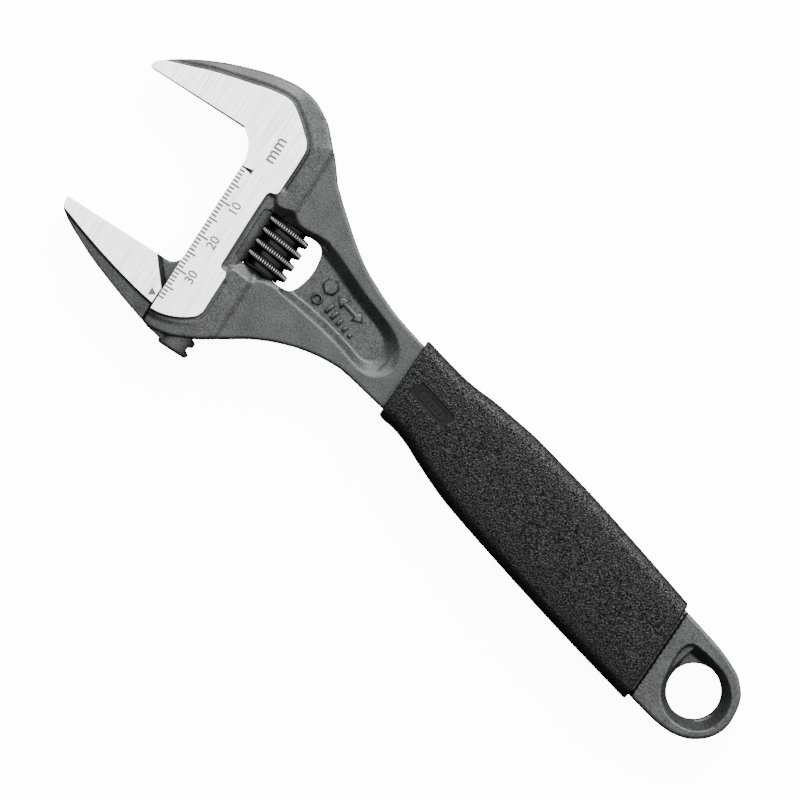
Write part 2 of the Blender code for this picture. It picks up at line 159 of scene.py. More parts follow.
def surface_net(field, axes):
    """Points and quads where a sampled field crosses zero, one point to each crossed cell."""
    inside = field < 0
    total = np.zeros(tuple(n - 1 for n in field.shape), np.int8)
    span = [slice(0, -1), slice(1, None)]
    for i in range(8):
        total += inside[span[i & 1], span[i >> 1 & 1], span[i >> 2]]
    active = (total > 0) & (total < 8)
    cells = np.argwhere(active)
    index = np.full(active.shape, -1, np.int64)
    index[active] = np.arange(len(cells))
    points, count = np.zeros((len(cells), 3)), np.zeros(len(cells))
    for axis in range(3):
        unit = np.eye(3, dtype=int)[axis]
        for i in range(4):
            offset = np.insert([i & 1, i >> 1], axis, 0)
            start = cells + offset
            a, b = field[tuple(start.T)], field[tuple((start + unit).T)]
            crossed = (a < 0) != (b < 0)
            t = a[crossed] / (a[crossed] - b[crossed])
            points[crossed] += start[crossed] + t[:, None] * unit
            count[crossed] += 1
    points /= count[:, None]
    points = np.stack([np.interp(p, range(len(axis)), axis) for p, axis in zip(points.T, axes)], 1)
    quads = []
    for axis in range(3):
        others = [k for k in range(3) if k != axis]
        a = np.take(inside, range(field.shape[axis] - 1), axis)
        b = np.take(inside, range(1, field.shape[axis]), axis)
        at = np.argwhere(a != b)
        at = at[(at[:, others] > 0).all(1) & (at[:, others] < np.array(field.shape)[others] - 1).all(1)]
        back = np.eye(3, dtype=int)[others]
        ring = [at - back[0] - back[1], at - back[1], at, at - back[0]]
        faces = np.stack([index[tuple(cell.T)] for cell in ring], 1)
        outward = a[tuple(at.T)] == (axis != 1)
        quads.append(np.where(outward[:, None], faces, faces[:, ::-1]))
    return points, np.concatenate(quads)


def mesh_object(name, points, faces, matrix, material):
    mesh = bpy.data.meshes.new(name)
    mesh.from_pydata(points, [], faces)
    mesh.transform(matrix)
    mesh.materials.append(material)
    mesh.shade_smooth()
    obj = bpy.data.objects.new(name, mesh)
    bpy.context.scene.collection.objects.link(obj)
    return obj


def axis(*stretches):
    """Sample positions along an axis, from stretches of (start, end, step)."""
    return np.concatenate([np.arange(*stretch) for stretch in stretches])


def solid(name, field, axes, matrix, material):
    """The surface of field(x, y)(z), sampled at every crossing of the three axes, as a mesh object."""
    x, y = np.meshgrid(*axes[:2], indexing="ij")
    shape = field(x, y)
    values = np.stack([shape(height) for height in axes[2]], -1)
    points, faces = surface_net(values, axes)
    return mesh_object(name, points, faces.tolist(), matrix, material)


# ---------------------------------------------------------------- outlines of the wrench

MOUTH = head(
    sharp([(60, 0), (5.2, 0)]) + soft([(3.0, 1.8), (1.7, 3.4), (0.9, 5.2)]) + sharp([(0.4, 7.2), (0.4, 75),
                                                                                     (60, 75)])
)
OUTER_EDGE = [
    (-26, 3), (-24, 1.2), (-22, -0.6), (-20, -3.1), (-18, -5.6), (-16, -7.6), (-14, -9.8), (-12, -11.8),
    (-10, -13.2),
    (-8, -14.3), (-6, -15), (-4, -15.5), (-2, -15.7), (0, -15.75), (4, -15.2), (8, -14.3), (12, -13),
    (16, -11.6),
    (20, -9.9), (24, -7.9), (28, -5.5), (30, -4.1), (31.2, -3.2), (32.3, -2.2), (32.9, -1.2), (33, -0.3),
]
LOWER_EDGE = [
    (0, 54.45), (-2, 54.7), (-4, 54.5), (-6, 54.1), (-8, 53.5), (-10, 52.6), (-12, 51.6), (-14, 50.5),
    (-17, 48.5),
    (-20, 46.6), (-24, 44), (-28, 42), (-32, 40.4), (-36, 39.2), (-40, 38.4), (-44, 38), (-48, 38),
]
SILHOUETTE = (
    sharp([(104, -8.2)])
    + soft([(116, -8.2), (120, -8.4), (124, -8.9), (128, -9.6), (132, -10.4), (136, -11.7), (140, -13.3),
            (144, -15.1)])
    + head(soft(OUTER_EDGE) + sharp([(33, 4), (8, 8), (6, 52)]) + soft(LOWER_EDGE))
    + sharp([(104, 10)])
)
FACE_TOP = [
    (31, -3.1), (28.2, -4.05), (24, -5.5), (20, -6.95), (14, -8.65), (8, -10.15), (5, -10.95), (2, -11.4),
    (0, -11.6), (-1.5, -11.4),
    (-3, -10.7), (-5, -9.3), (-7, -7.7), (-9, -5.9), (-10.3, -4.6), (-11.1, -2.5),
]
FACE_LEFT = (
    sharp([(-11.1, 9)]) + soft([(-10.6, 10), (-9.1, 10.6), (-8.6, 12)]) + sharp([(-8.6, 31.6)])
    + soft([(-9, 32.7), (-10.6, 33.1)]) + sharp([(-11.1, 34), (-11.1, 44.3)])
)
FACE_LOW = [(-10.6, 45.6), (-10, 46.4), (-8, 47.9), (-6, 49), (-4, 49.8), (-2, 50.3)]
FIXED_FACE = head(
    soft(FACE_TOP) + FACE_LEFT + soft(FACE_LOW)
    + sharp([(0.4, 50.5), (0.4, 7.2)]) + soft([(0.9, 5.2), (1.7, 3.4), (3.0, 1.8)])
    + sharp([(5.2, 0), (32.8, 0)]) + soft([(33, -0.4), (32.8, -1.2), (32.1, -2.3)])
)
# Where the forging is flat, before it falls away to the outer edge.
FLAT = (
    sharp([(90, -30), (90, 40)])
    + head(sharp([(-30, 60), (-16, 52), (-14, 44.4), (-12.4, 44.8)]) + soft([(-10.6, 46.8), (-7.5, 48.9),
                                                                             (-4, 50.4), (0, 51)])
           + sharp([(6, 51.2), (38, 0), (33.5, -1.2)])
           + soft([(30.5, -3.5), (24, -5.7), (20, -7.15), (8, -10.4), (2, -11.7), (-1.5, -11.7), (-5, -9.8),
                   (-9.4, -6.2)])
           + sharp([(-11.8, -4.6), (-17, -7.2), (-30, -20)]))
)
RECESS = head(
    sharp([(-31, 14.4)]) + soft([(-28, 12.9), (-22, 13.2), (-19.5, 13), (-17.8, 11.9), (-16.4, 11.2),
                                 (-14, 11.9),
                                 (-12.3, 11.8)])
    + sharp([(-11, 10.2), (-8.5, 10.6), (-8.5, 32.6), (-10.8, 33)])
    + soft([(-11.6, 31.6), (-15, 31.7), (-17.4, 31.7), (-18.5, 30.6), (-20.5, 29.9), (-26, 29.9)])
    + sharp([(-31, 30.4)])
)
WINDOW = head(
    soft([(-11.3, 14.15), (-10.35, 15.1)]) + sharp([(-10.35, 27.9), (-11.1, 28.62), (-21, 28.65)])
    + soft([(-24.5, 28.75), (-26.4, 28.2), (-27.8, 25.8), (-28.7, 21.8), (-28.3, 17.5), (-27.4, 15.5),
            (-25.5, 14.5)])
    + sharp([(-22, 14.3), (-13, 14.15)])
)
SLOT = head(sharp([
    (BARREL_U, -6.4), (-4.6, -5.7), (0.3, -3.1), (1.2, -1.9), (2.4, -1.0), (3.4, -0.6), (4.4, -0.2),
    (9, -0.2),
    (9, 75), (BARREL_U, 75),
]))
POCKET = (
    soft([(109.4, 2.2), (109.8, 0.2), (111.6, -2.6), (114.7, -4.5), (118, -5.3), (122, -5.7), (127.2, -6.1),
          (132.6, -6.8), (138, -7.6), (142, -7.9), (145, -7.6)])
    + sharp([(149, -6.6), (156, -6.6), (149, 13.2)])
    + soft([(145, 10.2), (140, 9.2), (133, 8.4), (126, 7.8), (119.1, 7.8), (115.3, 7.8), (112.7, 7.1),
            (110.6, 5.3)])
)
POCKET_FLOOR = (
    soft([(114.3, 2.0), (115, 0), (116.6, -1.6), (118.9, -2.4), (122.1, -2.8), (126.3, -3), (132.2, -3.6),
          (140, -4.6)])
    + sharp([(156, -6), (152, 10)]) + soft([(140, 7), (133, 6.1), (128.4, 5.7), (121.7, 5.5), (118.2, 5.7),
                                            (116.1, 5.2), (114.7, 3.9)])
)
EYE = (
    soft([(-11.8, 0), (-10.6, -4.4), (-8.6, -7.8), (-5.8, -9.9), (-4, -10.8), (0, -11.6), (3, -11.95)])
    + sharp([(6, -12.1), (19, -12.1), (13, 12.6), (9, 12.55)])
    + soft([(3, 12.3), (0, 12), (-4, 11), (-8, 8.6), (-11, 4.5)])
)
DISH = soft([
    (-9.7, 0), (-9, 4), (-7, 6.7), (-4, 8.4), (-1, 9), (2, 8.6), (5, 7), (7, 4.8), (8.6, 1.4), (9.9, -2.4),
    (10.3, -4.8),
    (10, -6.6), (8.8, -7.9), (5, -8.6), (0, -8.7), (-2.8, -8.2), (-5.6, -6.9), (-8.1, -4.6),
])
CORE = sharp([(8, -10), (30, -10.5), (96, -8), (112, -7.5), (112, 9.2), (96, 9), (30, 11.5), (8, 11.5)])
JAW_EDGE = [
    (32.8, 40), (32.2, 41.4), (31.3, 42.1), (30, 43), (28, 44.1), (24, 46), (20, 47.8), (16, 49.3),
    (12, 50.7), (8, 52), (4, 53.2),
]
JAW_U = 0.75
JAW = head(sharp([(JAW_U, 36.2)]) + soft([(1.2, 36.9), (1.9, 37.7), (2.8, 38.1)])
           + sharp([(4.6, CONTACT_V), (32.9, CONTACT_V)]) + soft(JAW_EDGE) + sharp([(JAW_U, 54.2)]))
JAW_FACE = head(
    sharp([(JAW_U, 44.9), (6.4, CONTACT_V), (32.75, CONTACT_V)]) + soft([(32.6, 40.2)]) + sharp([(32, 41.2)])
    + soft([(30, 41.8), (26, 43.1), (20, 44.9), (14, 46.5), (8, 47.9), (4, 48.7)]) + sharp([(JAW_U, 49.2)])
)
WEB = head(sharp([
    (BARREL_U + 1, 31.2), (-4.6, 33), (0.4, 35.6), (1.0, 36.7), (1.8, 37.6), (2.6, 38.1), (4.0, 38.35),
    (8, 38.35),
    (8, 48), (3, 53.3), (-1, 54.9), (-5, 55.6), (BARREL_U + 1, 56.3),
]))
# The grip's long sides, run on past its two ends, which are cut along these lines.
GRIP = (
    sharp([(2, -13.3)])
    + soft([(18, -13.6), (36, -14), (54, -14.1), (64, -13.8), (74, -13.4), (80, -12.7), (87, -11.8),
            (92, -10.8),
            (96, -10.3), (100, -10.1), (106, -9.95)])
    + sharp([(116, -9.9), (112, 11.7)])
    + soft([(103.3, 11.7), (102, 11.75), (99, 11.35), (94, 11.6), (89, 12.5), (82, 13.6), (76, 14.2),
            (67, 14.5),
            (50, 14.7), (32, 14.6), (14, 14.15)])
    + sharp([(0, 13.8)])
)
LOW_END = ((16.9, -12.6), (10.8, 12.8))
HIGH_END = ((108.8, -8.6), (104.1, 10.2))


# ---------------------------------------------------------------- fields of the pieces


def taper(u):
    """How much the jaws have thinned at u, towards their tips."""
    return np.maximum(u - TAPER_U, 0) * TAPER_SLOPE


def past(line, x, y):
    """Signed distance from a cut line: positive beyond it, on the left of the way from its first point."""
    (ax, ay), (bx, by) = line
    return ((ay - by) * (x - ax) + (bx - ax) * (y - ay)) / math.hypot(bx - ax, by - ay)


def cut_round(a, b, radius):
    """What lies inside both fields, with the edge between them rounded."""
    a, b = a + radius, b + radius
    return np.minimum(np.maximum(a, b), 0) + np.hypot(np.maximum(a, 0), np.maximum(b, 0)) - radius


def band_drop(from_flat, v, u):
    """The fall of the forged band outside the ground faces, gentler on the fixed jaw's side."""
    over_bore = ramp(u, BARREL_U - 9, BARREL_U - 4) * (1 - ramp(u, BARREL_U + 3, BARREL_U + 10))
    upper = (0.42 - 0.27 * over_bore) * np.maximum(from_flat, 0)
    step = (1.15 - 0.5 * over_bore) * ramp(from_flat, -0.4, 1.5)
    lower = step + (0.14 - 0.1 * over_bore) * np.maximum(from_flat, 0)
    lower *= ramp(u, -14.5, -5)
    return np.where(v < 20, upper, lower)


def body_field(x, y):
    u, v = to_head(x, y)
    outline = distance(traced(SILHOUETTE), x, y)
    flat = distance(traced(FLAT), x, y)
    recess = distance(traced(RECESS), x, y)
    window = distance(traced(WINDOW), x, y)
    pocket = distance(traced(POCKET), x, y)
    mouth = distance(traced(MOUTH), x, y)
    slot = distance(traced(SLOT), x, y)
    eye = distance(traced(EYE), x, y)
    dish = distance(traced(DISH), x, y)
    core = distance(traced(CORE), x, y)
    rise = NECK_HALF + (HEAD_HALF - NECK_HALF) * ramp(u, -18.0, -16.2)
    top = rise - band_drop(flat, v, u) - taper(u)
    beside = distance(traced(FIXED_FACE), x, y)
    groove = np.exp(-((beside - 0.55) / 0.5) ** 2) * np.where(v < 20, 0.75, 0.45)
    top -= groove * ramp(-recess, -1.5, -3.0)
    strip = np.where((u > -11.6) & (v > 11.5), STRIP_HALF, 3.4)
    roof = np.sqrt(np.maximum((BORE_R + 0.75) ** 2 - (u - BARREL_U) ** 2, 0))
    strip, top = np.maximum(strip, roof), np.maximum(top, roof)
    top = np.minimum(top, np.maximum(strip, top - np.where(v < 22, 1.0, 0.78) * np.maximum(-recess, 0)))
    floor = distance(traced(POCKET_FLOOR), x, y)
    across = np.maximum(-pocket, 0) / np.maximum(np.maximum(-pocket, 0) + np.maximum(floor, 0), 0.01)
    walls = NECK_HALF - (NECK_HALF - POCKET_HALF) * (0.75 * across + 0.25 * ramp(across, 0, 1))
    walls = np.where((u > -24) | (pocket > 0), 99, walls)
    top = np.minimum(top, walls)
    hang = np.hypot(x, y) - 7.0
    eye_top = 5.2 - np.clip(-1.5 * dish, 0, 3.6)
    eye_top = np.where(past(LOW_END, x, y) < 0.95, 3.3, eye_top)

    def at(z):
        shape = slab(outline, top, z, 0.75)
        shape = union(shape, slab(core, 4.3, z, 0.4))
        shape = union(shape, slab(eye, eye_top, z, 0.9))
        shape = np.maximum(shape, -hang)
        shape = np.maximum(shape, -mouth)
        shape = np.maximum(shape, -window)
        bore = np.hypot(u - BARREL_U, z) - BORE_R
        shape = np.maximum(shape, -bore)
        shape = np.maximum(shape, -np.maximum(slot, abs(z) - 2.7))
        pin = np.hypot(u - KNURL_U, z)
        shape = np.maximum(shape, -np.maximum(pin - 1.85, 8.2 - v))
        return np.maximum(shape, -np.maximum(pin - 2.65, 38.2 - v))

    return at


def thread(u, v, z, grow):
    """Distance from the knurl's thread, wound left-handed on its core."""
    turn = np.arctan2(z, u - KNURL_U) / (2 * math.pi)
    phase = (v - THREAD_V - PITCH * turn + PITCH / 2) % PITCH - PITCH / 2
    crest = np.abs(phase)
    radius = KNURL_ROOT + (KNURL_R - KNURL_ROOT + grow) * (1 - ramp(crest, 0.62 + grow, 1.0 + grow))
    return (np.hypot(u - KNURL_U, z) - radius) * 0.7


def jaw_field(x, y):
    u, v = x, y
    x, y = HEAD_ORIGIN[0] + u * COS - v * SIN, HEAD_ORIGIN[1] + u * SIN + v * COS
    outline = distance(traced(JAW), x, y)
    face = distance(traced(JAW_FACE), x, y)
    web = distance(traced(WEB), x, y)
    drop = 0.8 * ramp(face, -0.3, 0.7) + 0.1 * np.maximum(face - 1.2, 0)
    wedge = (u - JAW_U) / (6.4 - JAW_U) + (v - CONTACT_V) / (44.9 - CONTACT_V)
    top = HEAD_HALF + 0.35 - np.where(v > 40, drop, 0.35) - taper(u)
    top = np.where(wedge < 1, np.minimum(HEAD_HALF, 2.4 + 3.9 * np.clip((wedge - 0.74) / 0.26, 0, 1)), top)
    middle = sum(BARREL_ENDS) / 2
    half = (BARREL_ENDS[1] - BARREL_ENDS[0]) / 2

    def at(z):
        shape = slab(outline, top, z, 0.35)
        shape = union(shape, slab(web, 2.4, z, 0.2))
        barrel = slab(np.hypot(u - BARREL_U, z) - BARREL_R, half, v - middle, 0.9)
        barrel = np.maximum(barrel, -thread(u, v, z, 0.06))
        return union(shape, barrel)

    return at


def grip_field(x, y):
    outline = distance(traced(GRIP), x, y)
    tunnel = distance(traced(CORE), x, y) - 0.4
    across = np.clip(-outline, 0, 12)
    top = 8.0 - 1.1 * np.exp(-across / 3.2)
    badge = np.maximum(np.abs(x - 96.6) - 5.75, np.abs(y - 0.1) - 2.05)
    ends = np.maximum(past(LOW_END, x, y), -past(HIGH_END, x, y))

    def at(z):
        shape = cut_round(slab(outline, top, z, 3.0), ends, 0.5)
        shape = np.maximum(shape, -np.maximum(tunnel, abs(z) - 4.5))
        if z > 0:
            shape = np.maximum(shape, -np.maximum(badge, 7.2 - z))
        return shape

    return at


# ---------------------------------------------------------------- crisp flat shapes


def flat_shape(name, loops, low, high, edge, matrix, material, crease=None):
    """One or more closed loops, filled and made solid from low to high, with chamfered edges."""
    curve = bpy.data.curves.new(name, "CURVE")
    curve.dimensions = "2D"
    curve.fill_mode = "BOTH"
    curve.extrude = (high - low) / 2 - edge
    curve.bevel_depth = edge
    curve.bevel_resolution = 0
    curve.offset = -edge
    for loop in loops:
        spline = curve.splines.new("POLY")
        spline.points.add(len(loop) - 1)
        spline.use_cyclic_u = True
        for point, (x, y) in zip(spline.points, loop):
            point.co = (x, y, 0, 1)
    source = bpy.data.objects.new(name, curve)
    bpy.context.scene.collection.objects.link(source)
    bpy.context.view_layer.update()
    mesh = bpy.data.meshes.new_from_object(source.evaluated_get(bpy.context.evaluated_depsgraph_get()))
    bpy.data.objects.remove(source, do_unlink=True)
    made = bmesh.new()
    made.from_mesh(mesh)
    bmesh.ops.remove_doubles(made, verts=made.verts, dist=1e-4)
    bmesh.ops.translate(made, verts=made.verts, vec=(0, 0, (high + low) / 2))
    if crease is not None:
        (x, y), = head([(crease, 0)])
        bmesh.ops.bisect_plane(made, geom=made.verts[:] + made.edges[:] + made.faces[:], dist=1e-5,
                               plane_co=(x, y, 0), plane_no=(COS, SIN, 0))
        for vert in made.verts:
            vert.co.z -= float(taper(to_head(vert.co.x, vert.co.y)[0]))
    bmesh.ops.recalc_face_normals(made, faces=made.faces)
    made.to_mesh(mesh)
    made.free()
    mesh.transform(matrix)
    mesh.materials.clear()
    mesh.materials.append(material)
    obj = bpy.data.objects.new(name, mesh)
    bpy.context.scene.collection.objects.link(obj)
    return obj


def joined(name, objects):
    """One object from several, so that a family of marks is one piece."""
    made = bmesh.new()
    for obj in objects:
        made.from_mesh(obj.data)
    mesh = bpy.data.meshes.new(name)
    made.to_mesh(mesh)
    made.free()
    mesh.materials.append(objects[0].data.materials[0])
    for obj in objects:
        bpy.data.objects.remove(obj, do_unlink=True)
    obj = bpy.data.objects.new(name, mesh)
    bpy.context.scene.collection.objects.link(obj)
    return obj


def mirrored(obj):
    """The object and its reflection in the mid-plane, as one piece."""
    mesh = obj.data.copy()
    middle = HANDLE_ORIGIN[2] * MM
    mesh.transform(Matrix.Translation((0, 0, 2 * middle)) @ Matrix.Diagonal((1, 1, -1, 1)))
    mesh.flip_normals()
    other = bpy.data.objects.new("other side", mesh)
    return joined(obj.name, [obj, other])


def ring(centre, radius, count, turn=0.0):
    return [(centre[0] + radius * math.cos(turn + 2 * math.pi * i / count),
             centre[1] + radius * math.sin(turn + 2 * math.pi * i / count)) for i in range(count)]


def bar(x0, y0, x1, y1):
    return [(x0, y0), (x1, y0), (x1, y1), (x0, y1)]


def stadium(cx, cy, length, height):
    r = height / 2
    ends = []
    for side in (1, -1):
        for i in range(13):
            a = math.pi * (i / 12 - 0.5)
            ends.append((cx + side * (length / 2 - r + r * math.cos(a)), cy + side * r * math.sin(a)))
    return ends


def text_mark(body, u, v, height, material):
    curve = bpy.data.curves.new("mark", "FONT")
    curve.body = body
    curve.size = height / 0.72
    curve.align_x = curve.align_y = "CENTER"
    curve.offset = 0.02 * height
    curve.extrude = 0.012
    curve.resolution_u = 4
    source = bpy.data.objects.new("mark", curve)
    bpy.context.scene.collection.objects.link(source)
    bpy.context.view_layer.update()
    mesh = bpy.data.meshes.new_from_object(source.evaluated_get(bpy.context.evaluated_depsgraph_get()))
    bpy.data.objects.remove(source, do_unlink=True)
    turn = Matrix.Rotation(-math.pi / 2, 4, "Z")
    mesh.transform(place_head() @ Matrix.Translation((u, v, FACE_HALF)) @ turn)
    mesh.materials.clear()
    mesh.materials.append(material)
    obj = bpy.data.objects.new("mark", mesh)
    bpy.context.scene.collection.objects.link(obj)
    return obj


def scale_marks(material):
    marks = []
    low, high = FACE_HALF - 0.02, FACE_HALF + 0.012
    for i in range(39):
        v = 8.6 + i * 38.2 / 38
        reach = -2.6 if i % 10 == 0 else -2.1 if i % 5 == 0 else -1.2
        tick = bar(reach, v - 0.24, 0.3, v + 0.24)
        marks.append(flat_shape("tick", [tick], low, high, 0.002, place_head(), material))
    marks.append(flat_shape("zero", [[(-2.8, 7.9), (0.2, 8.6), (-2.8, 9.3)]], low, high, 0.002, place_head(),
                            material))
    for number, v in (("10", 18.6), ("20", 28.6), ("30", 38.7)):
        marks.append(text_mark(number, -4.1, v, 2.45, material))
    marks.append(text_mark("mm", -4.6, 0.9, 3.3, material))
    return joined("scale_marks", marks)


def neck_marks(material):
    """Raised symbols on the pocket floor: a nut, a two-way arrow and a row of size bars."""
    marks = []

    def raised(*loops):
        marks.append(flat_shape("mark", loops, 2.2, 3.5, 0.42, place(), material))

    raised(ring((135.2, -0.9), 2.3, 6, math.pi / 6), ring((135.2, -0.9), 1.2, 20))
    raised([(123.2, -0.6), (125.8, -2.3), (125.8, -1.15), (129.6, -1.15), (129.6, -2.3), (132.2, -0.6),
            (129.6, 1.1),
            (129.6, -0.05), (125.8, -0.05), (125.8, 1.1)])
    for i in range(5):
        x = 122.6 + 2.1 * i
        raised(bar(x, 4.4 - 1.1 - 0.45 * i, x + 1.05, 4.4))
    raised(ring((135.4, 3.6), 1.7, 6, math.pi / 6), ring((135.4, 3.6), 0.75, 16))
    return joined("neck_marks", marks)


def knurl_mesh(material):
    around, along = 480, 190
    a = np.linspace(0, 2 * math.pi, around, endpoint=False)
    v = np.linspace(*KNURL_ENDS, along)
    a, v = np.meshgrid(a, v, indexing="ij")
    phase = (v - THREAD_V - PITCH * a / (2 * math.pi) + PITCH / 2) % PITCH - PITCH / 2
    crest = np.abs(phase)
    from_end = np.minimum(v - KNURL_ENDS[0], KNURL_ENDS[1] - v)
    height = 1 - ramp(crest, 0.56, 1.16)
    radius = KNURL_CORE + (KNURL_R - KNURL_CORE) * height
    groove = 0.5 - 0.5 * np.cos(54 * a)
    radius -= 0.3 * groove * (1 - ramp(crest, 0.4, 0.6))
    radius = np.minimum(np.maximum(radius, 5.2 - 3 * from_end), 5.2 + 1.5 * from_end)
    # Painted highlight: the serration tips on the crests get a light colour that stands in for the glints
    # they catch.
    worn = (1 - ramp(crest, 0.2, 0.36)) * ramp(0.42 - groove, 0, 0.3) * ramp(from_end, 0.5, 1.2)
    rows = np.stack([radius * np.cos(a), v, radius * np.sin(a)], -1)
    inner = [np.stack([1.9 * np.cos(a[:, 0]), np.full(around, end), 1.9 * np.sin(a[:, 0])],
                      -1) for end in KNURL_ENDS]
    rows = np.concatenate([inner[0][:, None], rows, inner[1][:, None]], 1)
    worn = np.pad(worn, ((0, 0), (1, 1)))
    index = np.arange(around * (along + 2)).reshape(around, along + 2)
    index = np.concatenate([index, index[:, :1]], 1)
    index = np.concatenate([index, index[:1]], 0)
    quads = np.stack([index[:-1, :-1], index[:-1, 1:], index[1:, 1:], index[1:, :-1]], -1).reshape(-1, 4)
    matrix = place_head() @ Matrix.Translation((KNURL_U, 0, 0))
    obj = mesh_object("knurl_visual", rows.reshape(-1, 3), quads.tolist(), matrix, material)
    crest_glint_layer = obj.data.attributes.new("worn", "FLOAT", "POINT")
    crest_glint_layer.data.foreach_set("value", worn.reshape(-1).astype(np.float32))
    return obj


# ---------------------------------------------------------------- materials


class Look:
    """A procedural Principled material, with a few node helpers."""

    def __init__(self, name, colour, metallic, roughness, specular=0.5):
        self.material = bpy.data.materials.new(name)
        self.material.use_nodes = True
        self.material.diffuse_color = (*colour, 1)
        self.nodes = self.material.node_tree.nodes
        self.links = self.material.node_tree.links
        self.shader = self.nodes["Principled BSDF"]
        self.set("Base Color", (*colour, 1))
        self.set("Metallic", metallic)
        self.set("Roughness", roughness)
        self.set("Specular IOR Level", specular)

    def set(self, socket, value):
        self.shader.inputs[socket].default_value = value

    def node(self, kind, **values):
        made = self.nodes.new(kind)
        for name, value in values.items():
            if name in made.inputs:
                made.inputs[name].default_value = value
            else:
                setattr(made, name, value)
        return made

    def link(self, out, into):
        self.links.new(out, into)

    def coordinates(self, scale=(1, 1, 1), turn=0.0):
        mapping = self.node("ShaderNodeMapping")
        mapping.inputs["Scale"].default_value = scale
        spun = self.node("ShaderNodeMapping")
        spun.inputs["Rotation"].default_value = (0, 0, turn)
        self.link(self.node("ShaderNodeTexCoord").outputs["Object"], spun.inputs["Vector"])
        self.link(spun.outputs["Vector"], mapping.inputs["Vector"])
        return mapping.outputs["Vector"]

    def noise(self, vector, scale, detail=2.0, rough=0.5):
        made = self.node("ShaderNodeTexNoise", Scale=scale, Detail=detail, Roughness=rough)
        self.link(vector, made.inputs["Vector"])
        return made.outputs["Fac"]

    def spread(self, value, low, high, into, start=0.3, end=0.7):
        made = self.node("ShaderNodeMapRange")
        for socket, number in zip(("From Min", "From Max", "To Min", "To Max"), (start, end, low, high)):
            made.inputs[socket].default_value = number
        self.link(value, made.inputs["Value"])
        self.link(made.outputs["Result"], into)

    def tint(self, value, dark, light, start=0.3, end=0.7):
        made = self.node("ShaderNodeValToRGB")
        made.color_ramp.elements[0].position, made.color_ramp.elements[1].position = start, end
        made.color_ramp.elements[0].color = (*dark, 1)
        made.color_ramp.elements[1].color = (*light, 1)
        self.link(value, made.inputs["Fac"])
        self.link(made.outputs["Color"], self.shader.inputs["Base Color"])
        return made

    def bump(self, value, depth, strength=1.0):
        made = self.node("ShaderNodeBump", Strength=strength, Distance=depth)
        self.link(value, made.inputs["Height"])
        self.link(made.outputs["Normal"], self.shader.inputs["Normal"])
        return made


def forged_look(name="forged steel", tone=1.0):
    look = Look(name, (0.06 * tone,) * 3, 0.85, 0.42)
    grain = look.noise(look.coordinates(), 3000, 2, 0.7)
    cloud = look.noise(look.coordinates(), 160, 3, 0.5)
    mixed = look.node("ShaderNodeMath", operation="MULTIPLY_ADD")
    look.link(cloud, mixed.inputs[0])
    mixed.inputs[1].default_value = 0.25
    look.link(grain, mixed.inputs[2])
    dark, light = 0.018 * tone, 0.075 * tone
    look.tint(mixed.outputs["Value"], (dark, dark * 1.01, dark * 1.03), (light, light * 1.01, light * 1.02),
              0.48, 0.88)
    look.spread(grain, 0.36, 0.5, look.shader.inputs["Roughness"])
    look.bump(grain, 0.00004, 0.7)
    return look.material


def ground_look():
    look = Look("ground steel", (0.8, 0.8, 0.79), 0.7, 0.34)
    streaks = look.noise(look.coordinates((2600, 60, 1), -HEAD_ANGLE), 1.0, 4, 0.65)
    look.tint(streaks, (0.5, 0.5, 0.495), (0.96, 0.96, 0.955), 0.3, 0.56)
    look.spread(streaks, 0.42, 0.28, look.shader.inputs["Roughness"])
    look.bump(streaks, 0.000008, 0.5)
    return look.material


def oxide_look():
    look = Look("black oxide steel", (0.006, 0.006, 0.0065), 0.8, 0.24)
    # Painted highlight: the knurl's serration tips, marked by the mesh attribute, are tinted light in place
    # of their glints.
    worn = look.node("ShaderNodeAttribute", attribute_name="worn").outputs["Fac"]
    look.tint(worn, (0.008, 0.008, 0.0085), (0.34, 0.34, 0.33), 0.1, 0.6)
    look.bump(look.noise(look.coordinates(), 1800), 0.00002, 0.4)
    return look.material


def plain_steel_look(name, tone):
    look = Look(name, (tone, tone, tone), 0.9, 0.3)
    grain = look.noise(look.coordinates(), 1500)
    look.spread(grain, 0.24, 0.38, look.shader.inputs["Roughness"])
    look.bump(grain, 0.00001, 0.4)
    return look.material


def grip_look():
    """Black moulding: fine pebbles on its two faces, smooth round its sides."""
    look = Look("moulded grip", (0.003, 0.003, 0.0032), 0.0, 0.3, 0.1)
    cells = look.node("ShaderNodeTexVoronoi", Scale=2400.0, Randomness=1.0)
    look.link(look.coordinates(), cells.inputs["Vector"])
    grain = look.noise(look.coordinates(), 2600, 2, 0.6)
    mixed = look.node("ShaderNodeMath", operation="ADD")
    look.link(cells.outputs["Distance"], mixed.inputs[0])
    look.link(grain, mixed.inputs[1])
    look.tint(mixed.outputs["Value"], (0.0004, 0.0004, 0.0005), (0.004, 0.004, 0.0042), 0.6, 1.15)
    upright = look.node("ShaderNodeSeparateXYZ")
    look.link(look.node("ShaderNodeNewGeometry").outputs["True Normal"], upright.inputs["Vector"])
    facing = look.node("ShaderNodeMath", operation="ABSOLUTE")
    look.link(upright.outputs["Z"], facing.inputs[0])
    bump = look.bump(mixed.outputs["Value"], 0.00012)
    look.spread(grain, 0.0, 0.3, look.shader.inputs["Specular IOR Level"], 0.42, 0.66)
    look.spread(facing.outputs["Value"], 0.08, 1.0, bump.inputs["Strength"], 0.6, 0.93)
    look.spread(facing.outputs["Value"], 0.5, 0.24, look.shader.inputs["Roughness"], 0.6, 0.93)
    return look.material


def smooth_grip_look():
    look = Look("smooth grip", (0.002, 0.002, 0.0021), 0.0, 0.4, 0.12)
    look.bump(look.noise(look.coordinates(), 900), 0.00003, 0.5)
    return look.material


def ink_look():
    look = Look("etched marks", (0.055, 0.055, 0.055), 0.0, 0.7, 0.2)
    look.spread(look.noise(look.coordinates(), 3000), 0.5, 0.7, look.shader.inputs["Roughness"])
    return look.material


# ---------------------------------------------------------------- light, floor and camera


